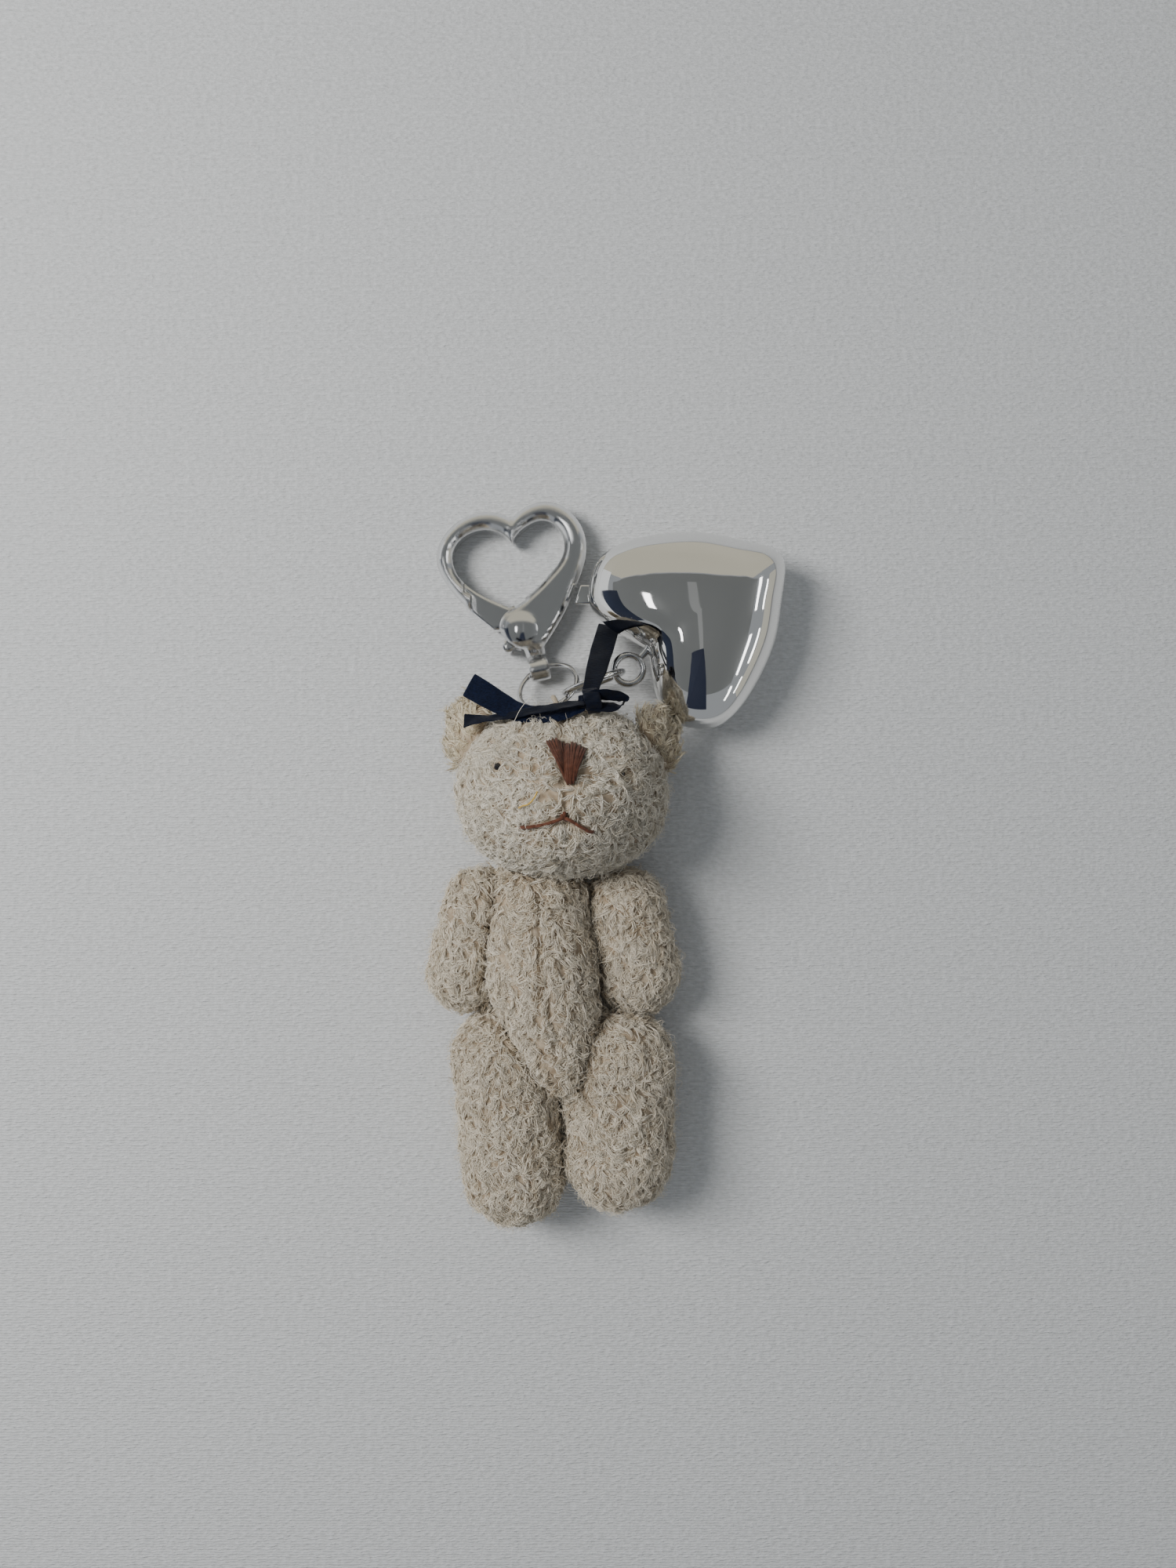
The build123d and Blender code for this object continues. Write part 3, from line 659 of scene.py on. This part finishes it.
def nose_stitches(count=15):
    """A fan of stitches from the nose's wide top to its foot, and three more that cross over them."""
    rng = np.random.default_rng(7)
    top = smooth_line([(-5.75, 6.0), (-5.0, 6.3), (-4.1, 6.1), (-3.1, 5.55), (-2.2, 5.7), (-1.2, 5.3),
                       (-0.35, 4.8)], count)
    foot = smooth_line([(-2.95, 0.45), (-2.5, -0.05), (-1.95, 0.35)], count)
    half = count // 2
    fan = []
    for k in range(count):
        wander = rng.normal(scale=0.07, size=(2, 2))
        start, end = top[k] + wander[0], foot[k] + wander[1] + np.array([0, (k % 3) * 0.14])
        middle = (start + end) / 2 + np.array([0.12 * (half - k) / half, 0])
        fan.append([start, middle, end])
    for k in (3, 7, 10):
        fan.append([top[k] + (0.1, 0.1), (top[k] + foot[k - 2]) / 2, foot[k - 2] + (0.1, 0.2)])
    return fan


yarn("nose_satin_stitch", nose_stitches(), 0.19, nose_yarn, ("nose_stitching",), 1.0, 0.35)
MOUTH = [
    [(-9.5, -6.25), (-8.2, -6.2), (-7.0, -6.0)], [(-7.3, -6.1), (-5.9, -5.8), (-4.7, -5.4)],
    [(-4.9, -5.5), (-4.0, -5.15), (-3.1, -4.75)], [(-3.4, -4.7), (-2.5, -5.2), (-1.6, -5.7)],
    [(-1.9, -5.55), (-1.0, -6.1), (-0.2, -6.55)], [(-0.4, -6.45), (0.1, -6.75), (0.7, -6.85)],
    [(-3.6, -4.5), (-3.35, -4.9), (-3.0, -5.15)], [(-3.2, -4.1), (-3.2, -4.6), (-3.25, -5.1)],
]
MOUTH_RAISED = 0.25
mouth = [[(x, y + MOUTH_RAISED) for x, y in line] for line in MOUTH]
yarn("mouth_stitch", mouth, 0.25, mouth_yarn, ("mouth_stitching",), 0.8, 0.12)


# ---------------------------------------------------------------- ribbon
# The thickness across a ribbon, thicker at its two woven edges.
SELVEDGES = np.array([0.7, 1, 0.85, 0.8, 0.8, 0.8, 0.85, 1, 0.7])


def ribbon(name, points, across, widths, seed, material=painted_shade_satin, count=60, thick=0.16, replaced=()):
    """A satin strip along points. across gives its width direction along it, and widths its width."""
    line = smooth_line(points, count)
    s = np.linspace(0, 1, count)
    knots = np.linspace(0, 1, len(across))
    side = unit(np.stack([np.interp(s, knots, np.array(across, float)[:, k]) for k in range(3)], axis=1))
    along = unit(np.gradient(line, axis=0))
    side = unit(side - (side * along).sum(1, keepdims=True) * along)
    face = np.cross(side, along)
    width = np.interp(s, np.linspace(0, 1, len(widths)), widths)
    rng = np.random.default_rng(seed)
    columns = len(SELVEDGES)
    u = np.linspace(-1, 1, columns)
    ripple = 0.10 * np.sin(s * 23 + rng.uniform(0, 6))[:, None] * np.cos(u * 2.2)[None, :]
    ripple += 0.05 * np.sin(s * 51 + rng.uniform(0, 6))[:, None] * u[None, :]
    half = thick / 2 * SELVEDGES
    flat = line[:, None, :] + side[:, None, :] * (u[None, :, None] * width[:, None, None] / 2)
    upper = flat + face[:, None, :] * (ripple + half)[:, :, None]
    lower = flat + face[:, None, :] * (ripple - half)[:, :, None]
    loop = np.concatenate([upper, lower[:, ::-1]], axis=1)
    m = columns * 2
    quads = []
    for i in range(count - 1):
        for j in range(m):
            quads.append((i * m + j, i * m + (j + 1) % m, (i + 1) * m + (j + 1) % m, (i + 1) * m + j))
    for i in (0, count - 1):
        for j in range(columns - 1):
            cap = (i * m + j, i * m + j + 1, i * m + m - 2 - j, i * m + m - 1 - j)
            quads.append(cap if i else cap[::-1])
    ob = build_mesh(name, loop.reshape(-1, 3), quads)
    dress(ob, "head", material, replaced)
    soft = ob.modifiers.new("rounding", "SUBSURF")
    soft.levels = soft.render_levels = 1
    return ob


ribbon(
    "bow_wide_tail",
    [(-0.6, 11.2, 19.3), (-2.6, 10.5, 19.5), (-5.0, 10.0, 19.7), (-7.6, 9.9, 19.6),
     (-10.2, 10.4, 19.2), (-12.6, 11.6, 18.9), (-15.0, 13.0, 18.9), (-17.2, 14.3, 18.4)],
    [(0, 0.7, -0.6), (0, 0.8, -0.5), (0, 0.9, -0.5), (0, 1, -0.3), (0.25, 0.9, -0.1), (0.5, 0.85, 0),
     (0.62, 0.78, 0.1)],
    [2.0, 2.6, 2.9, 2.8, 2.9, 3.3, 3.6, 3.7],
    seed=1, material=satin, replaced=("ribbon_bow",),
)
ribbon(
    "bow_narrow_tail",
    [(-0.6, 11.7, 19.9), (-3.4, 11.2, 20.3), (-6.4, 10.7, 20.3), (-9.6, 10.1, 20.0),
     (-12.4, 9.6, 19.2), (-15.2, 9.4, 18.2), (-18.0, 9.1, 17.3)],
    [(0, 0.4, -1), (0, 0.5, -0.8), (0, 0.7, -0.7), (0, 0.7, -0.7), (0, 0.6, -0.7), (0.1, 1, -0.4)],
    [2.4, 2.1, 1.8, 1.6, 1.4, 1.5, 2.3],
    seed=2,
)
ribbon(
    "bow_small_loop",
    [(-0.2, 12.3, 19.2), (1.8, 12.7, 19.9), (4.0, 12.6, 19.7), (5.3, 11.9, 19.0),
     (4.3, 11.2, 19.2), (2.2, 11.0, 19.7), (-0.2, 11.3, 19.6)],
    [(0, 0.75, 0.65), (0, 0.7, 0.7), (0, 0.7, 0.7), (0.2, 0.6, 0.8), (0, -0.7, 0.7), (0, -0.75, 0.65),
     (0, -0.7, 0.7)],
    [2.2, 2.1, 2.0, 2.0, 2.0, 2.1, 2.2],
    seed=3,
)
ribbon(
    "bow_knot",
    [(0.9, 10.2, 19.2), (0.9, 11.0, 20.4), (0.6, 12.2, 20.6), (0.3, 13.2, 19.8), (0.0, 13.5, 18.4)],
    [(1, 0.2, 0.1), (1, 0.2, 0), (1, 0.1, 0), (1, 0.2, 0), (1, 0.1, 0)],
    [1.8, 2.3, 2.4, 2.3, 1.9],
    seed=4, count=30, thick=0.5,
)
ribbon(
    "bow_knot_core",
    [(-1.3, 11.7, 19.2), (0.0, 11.8, 19.6), (1.5, 11.8, 19.2)],
    [(0, 1, -0.3), (0, 1, -0.3), (0, 1, -0.3)],
    [1.8, 2.2, 1.8],
    seed=5, count=20, thick=1.3,
)
ribbon(
    "hanging_ribbon_loop",
    [(0.3, 13.0, 18.2), (0.8, 15.3, 16.6), (1.6, 18.3, 13.4), (2.4, 21.2, 9.6), (3.1, 23.9, 5.6),
     (3.3, 24.6, 4.2), (2.9, 23.2, 4.9), (2.1, 20.4, 8.6), (1.4, 17.4, 12.3), (0.7, 15.0, 15.2),
     (0.2, 13.4, 16.6)],
    [(1, -0.22, 0), (1, -0.25, 0), (1, -0.28, 0), (1, -0.28, 0), (1, -0.28, 0), (1, -0.28, 0)],
    [2.2, 3.0, 3.4, 3.4, 3.4, 3.4, 3.0, 2.2],
    seed=6, count=90, replaced=("ribbon_loop",),
)


# ---------------------------------------------------------------- pendant
# Half of the heart's outline, from its notch to its point. Its own x runs from notch to point.
HEART_HALF = [
    (0, 0), (-1.4, 3.1), (-3.0, 6.8), (-3.0, 11.5), (0.8, 15.2), (5.0, 15.8), (10.5, 14.0), (16.5, 10.4),
    (21.3, 5.6), (24.3, 2.0), (25.0, 0.0),
]
HEART_MIDDLE = np.array([9.5, 0.0])
PENDANT_AT, PENDANT_HEADING = np.array([9.1, 20.5, 7.5]), math.radians(35)
PENDANT_HALF_DEPTH = 7.5
SEAM_Z, RIM_Z = 0.015, 0.06


def heart_radius(angles):
    """The outline's distance from the heart's middle at each angle."""
    upper = smooth_line(HEART_HALF, 200) - HEART_MIDDLE
    ring = np.vstack([upper, upper[::-1] * (1, -1)])
    at = np.arctan2(ring[:, 1], ring[:, 0])
    order = np.argsort(at)
    return np.interp(angles, at[order], np.linalg.norm(ring, axis=1)[order], period=2 * math.pi)


def smoothed(outline, spread, overlap=60):
    """A closed outline, averaged over about spread of its points on each side."""
    kernel = np.hanning(spread * 2 + 3)[1:-1]
    padded = np.concatenate([outline[-overlap:], outline, outline[:overlap]])
    return np.convolve(padded, kernel / kernel.sum(), "same")[overlap:-overlap]


def heart_shell(name, direction, replaced, around=220, rings=46):
    """Half of the puffed heart, upward or downward. Its outline grows rounder towards its peak."""
    theta = np.linspace(-math.pi, math.pi, around, endpoint=False)
    ways = np.column_stack([np.cos(theta), np.sin(theta)])
    outline = heart_radius(theta)
    rows = []
    for i in range(rings):
        climb = math.pi / 2 * i / rings
        shrink, height = math.cos(climb) ** 0.82, math.sin(climb)
        round_line = smoothed(outline, 2 + int(26 * height**2))
        r = (outline + (round_line - outline) * min(1, 3 * height)) * shrink
        z = direction * (RIM_Z + (PENDANT_HALF_DEPTH - RIM_Z) * height)
        rows.append(np.column_stack([HEART_MIDDLE + r[:, None] * ways, np.full(around, z)]))
    turned_in = []
    for share in (0.93, 0.992):
        flat = HEART_MIDDLE + (rows[0][:, :2] - HEART_MIDDLE) * share
        turned_in.append(np.column_stack([flat, np.full(around, direction * SEAM_Z)]))
    rows = turned_in + rows
    pts = np.vstack([*rows, [[*HEART_MIDDLE, direction * PENDANT_HALF_DEPTH]]])
    c, s = math.cos(PENDANT_HEADING), math.sin(PENDANT_HEADING)
    x, y, z = pts.T
    turned = np.column_stack([x * c - y * s, x * s + y * c, z]) + PENDANT_AT
    faces = []
    for start in range(0, (len(rows) - 1) * around, around):
        for j in range(around):
            following = (j + 1) % around
            faces.append((start + j, start + following, start + around + following, start + around + j))
    last, peak = (len(rows) - 1) * around, len(pts) - 1
    faces += [(last + j, last + (j + 1) % around, peak) for j in range(around)]
    if direction < 0:
        faces = [face[::-1] for face in faces]
    ob = plain_object(name, to_frame(turned), faces, smooth=True)
    return dress(ob, "pendant", plating, replaced)


heart_shell("pendant_front", 1, ("pendant_front_shell",))
heart_shell("pendant_back", -1, ("pendant_back_shell",))


def slab(name, outline, z_low, z_high, body, material, edge=0.25):
    """A flat plate with rounded edges."""
    bm = bmesh.new()
    lower = [bm.verts.new(to_frame((x, y, z_low))) for x, y in outline]
    face = bm.faces.new(lower)
    grown = bmesh.ops.extrude_face_region(bm, geom=[face])
    top = [v for v in grown["geom"] if isinstance(v, bmesh.types.BMVert)]
    bmesh.ops.translate(bm, verts=top, vec=Vector((0, 0, (z_high - z_low) * MM)))
    bmesh.ops.recalc_face_normals(bm, faces=bm.faces)
    bmesh.ops.bevel(bm, geom=list(bm.edges), offset=edge * MM, segments=3, profile=0.5, affect="EDGES")
    mesh = bpy.data.meshes.new(name)
    bm.to_mesh(mesh)
    bm.free()
    mesh.polygons.foreach_set("use_smooth", np.ones(len(mesh.polygons), bool))
    return dress(new_object(name, mesh), body, material)


LUG_OUTLINE = [(-2.1, 28.0), (-1.2, 31.0), (3.5, 31.0), (3.5, 28.0)]
slab("pendant_lug", LUG_OUTLINE, 3.6, 4.6, "pendant", plating)


# ---------------------------------------------------------------- loose fibres on the bear
def hair(name, points, radius, material, count=24, sides=5):
    line = smooth_line(points, count)[None]
    verts, quads = tubes(line, np.full((1, count), radius), np.array([[0.1, 0.2, 1.0]]), sides)
    return dress(build_mesh(name, verts, quads), "head", material)


hair(
    "stray_hair",
    [(-7.6, 12.4, 21.5), (-8.4, 11.9, 21.9), (-9.6, 10.4, 22.0), (-10.6, 8.4, 21.6), (-11.2, 7.2, 21.2)],
    0.035, head_fibres[0],
)
hair(
    "yellow_fibre",
    [(-9.5, -3.3, 26.2), (-9.0, -3.0, 26.7), (-8.2, -2.8, 26.9), (-7.4, -2.0, 27.2), (-6.9, -1.0, 27.2)],
    0.12, fibre_material("yellow_fibre", (0.62, 0.40, 0.08)),
)

# ---------------------------------------------------------------- CAD nodes that stay
KEPT = {
    "clasp_body": chrome, "clasp_gate": chrome, "swivel_eye": chrome,
    "main_ring": wire_mat, "link_ring": wire_mat, "pendant_eye_pin": wire_mat,
    "gate_pin": spring_mat, "gate_spring": spring_mat,
    "eye_left": bead, "eye_right": bead,
    "hanging_loop": thread_mat, "neck_thread": thread_mat,
    "arm_left_thread": thread_mat, "arm_right_thread": thread_mat,
    "leg_left_thread": thread_mat, "leg_right_thread": thread_mat,
}
SHARP_EDGE = math.radians(32)
for node, material in KEPT.items():
    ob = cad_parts[node]
    for piece_slot in ob.material_slots:
        piece_slot.link = "OBJECT"
        piece_slot.material = material
    ob.data.polygons.foreach_set("use_smooth", np.ones(len(ob.data.polygons), bool))
    ob.data.set_sharp_from_angle(angle=SHARP_EDGE)

# ---------------------------------------------------------------- stage
def card(name, corners, material):
    """A flat card that isn't part of the object."""
    ob = plain_object(name, corners, [(0, 1, 2, 3)])
    ob.data.materials.append(material)
    return ob


FLOOR_HALF = 1.6
floor_mat = cloth_material(
    "pale_cloth", [(0.62, 0.625, 0.62), (0.76, 0.765, 0.77)], 1100, 0.95, 0.1, 0.8, (1, 1.8, 1),
)
floor_nodes, floor_links = floor_mat.node_tree.nodes, floor_mat.node_tree.links
weave = floor_nodes.new("ShaderNodeTexWave")
weave.bands_direction = "Y"
for socket, value in (("Scale", 420), ("Distortion", 5.0), ("Detail", 3.0), ("Detail Scale", 1.6)):
    weave.inputs[socket].default_value = value
weave_relief = floor_nodes.new("ShaderNodeBump")
weave_relief.inputs["Strength"].default_value = 0.35
weave_relief.inputs["Distance"].default_value = 0.00025
floor_links.new(floor_nodes["Mapping"].outputs["Vector"], weave.inputs["Vector"])
floor_links.new(weave.outputs["Fac"], weave_relief.inputs["Height"])
floor_links.new(weave_relief.outputs["Normal"], floor_nodes["Bump"].inputs["Normal"])
floor_corners = [(x * FLOOR_HALF, y * FLOOR_HALF, 0) for x, y in ((-1, -1), (1, -1), (1, 1), (-1, 1))]
floor = card("floor", floor_corners, floor_mat)
floor.location.z = -0.1 * MM


def area_light(name, place, aim, size, power, colour=(1, 1, 1)):
    light = bpy.data.lights.new(name, "AREA")
    light.shape = "RECTANGLE"
    light.size, light.size_y = size
    light.energy = power
    light.color = colour
    ob = new_object(name, light)
    ob.location = place
    ob.rotation_euler = (Vector(aim) - Vector(place)).to_track_quat("-Z", "Y").to_euler()
    return ob


key = area_light("key", (-0.30, 0.12, 0.36), (0, 0, 0), (0.16, 0.22), 2.0, (1.0, 0.995, 0.98))
key.visible_glossy = False


def mirror_card(name, corners, colour, glow):
    """A card that only the plated metal sees, standing for the room round the table."""
    mat, _, _, shader = new_material(name)
    shader.inputs["Base Color"].default_value = (*colour, 1)
    shader.inputs["Emission Color"].default_value = (*colour, 1)
    shader.inputs["Emission Strength"].default_value = glow
    ob = card(name, corners, mat)
    ob.visible_camera = ob.visible_diffuse = ob.visible_shadow = False


def strip_light(name, a, b, width, glow):
    """A narrow ceiling lamp from a to b, seen in the metal only."""
    a, b = np.array(a, float), np.array(b, float)
    across = unit(np.cross(b - a, a)) * width / 2
    corners = [tuple(corner) for corner in (a - across, b - across, b + across, a + across)]
    mirror_card(name, corners, (1, 1, 1), glow)


ROOM = {
    "ceiling": ([(-0.9, -0.55, 0.62), (0.75, -0.55, 0.62), (0.75, 0.42, 0.62), (-0.9, 0.42, 0.62)],
                (0.115, 0.12, 0.12), 0.95),
    "ceiling_beam": ([(0.03, -0.4, 0.61), (0.065, -0.4, 0.61), (0.065, 0.30, 0.61), (0.03, 0.30, 0.61)],
                     (0.19, 0.195, 0.195), 1.0),
    "warm_wall": ([(-1.1, 0.75, -0.01), (1.1, 0.75, -0.01), (1.1, 0.75, 1.10), (-1.1, 0.75, 1.10)],
                  (0.42, 0.395, 0.32), 0.95),
    "dark_front": ([(-0.15, -0.40, 0.20), (0.10, -0.40, 0.20), (0.06, -0.04, 0.52), (-0.055, -0.07, 0.52)],
                   (0.008, 0.011, 0.024), 1.0),
    "dark_side": ([(-0.45, -0.45, 0.10), (-0.45, 0.10, 0.10), (-0.45, 0.12, 0.36), (-0.45, -0.45, 0.46)],
                  (0.010, 0.014, 0.028), 1.0),
    "pale_wall_left": ([(-1.0, -0.9, -0.01), (-1.0, 0.74, -0.01), (-1.0, 0.74, 0.50), (-1.0, -0.9, 0.50)],
                       (0.66, 0.67, 0.67), 0.95),
    "pale_wall_right": ([(1.7, -1.2, -0.01), (1.7, 0.74, -0.01), (1.7, 0.74, 0.50), (1.7, -1.2, 0.50)],
                        (0.40, 0.385, 0.33), 0.95),
}
for name, (corners, colour, glow) in ROOM.items():
    mirror_card(name, corners, colour, glow)
# A dark card on the right, which takes light from the table and the bear but isn't seen in the metal.
shade_mat, _, _, shade_shader = new_material("shade_cloth")
shade_shader.inputs["Base Color"].default_value = (0.02, 0.02, 0.02, 1)
shade_corners = [(0.16, -0.5, 0.10), (0.16, 0.5, 0.10), (0.42, 0.5, 0.45), (0.42, -0.5, 0.45)]
shade = card("shade", shade_corners, shade_mat)
shade.visible_camera = shade.visible_glossy = False
LAMP_GLOW = 5.0
strip_light("lamp_window", (-0.20, -0.02, 0.5), (-0.20, 0.14, 0.5), 0.045, LAMP_GLOW)
for row, (x, z) in enumerate(((0.80, 0.55), (1.25, 0.45))):
    for k, (low, high) in enumerate(((-0.95, -0.60), (-0.42, -0.08), (0.06, 0.42))):
        strip_light(f"lamp_{row}_{k}", (x, low, z), (x, high, z), 0.07, LAMP_GLOW)

world = bpy.data.worlds.new("soft_room")
world.use_nodes = True
background = world.node_tree.nodes["Background"]
background.inputs["Color"].default_value = (0.90, 0.95, 1.0, 1)
background.inputs["Strength"].default_value = 0.33
bpy.context.scene.world = world

# The camera looks straight down.
CAMERA_HEIGHT = 187.5
camera = bpy.data.cameras.new("camera")
camera.lens = 27
camera.sensor_width = 36
camera.clip_start = 0.005
camera_ob = new_object("camera", camera)
camera_ob.location = Vector(to_frame((0.0, 0.0, CAMERA_HEIGHT)))
bpy.context.scene.camera = camera_ob
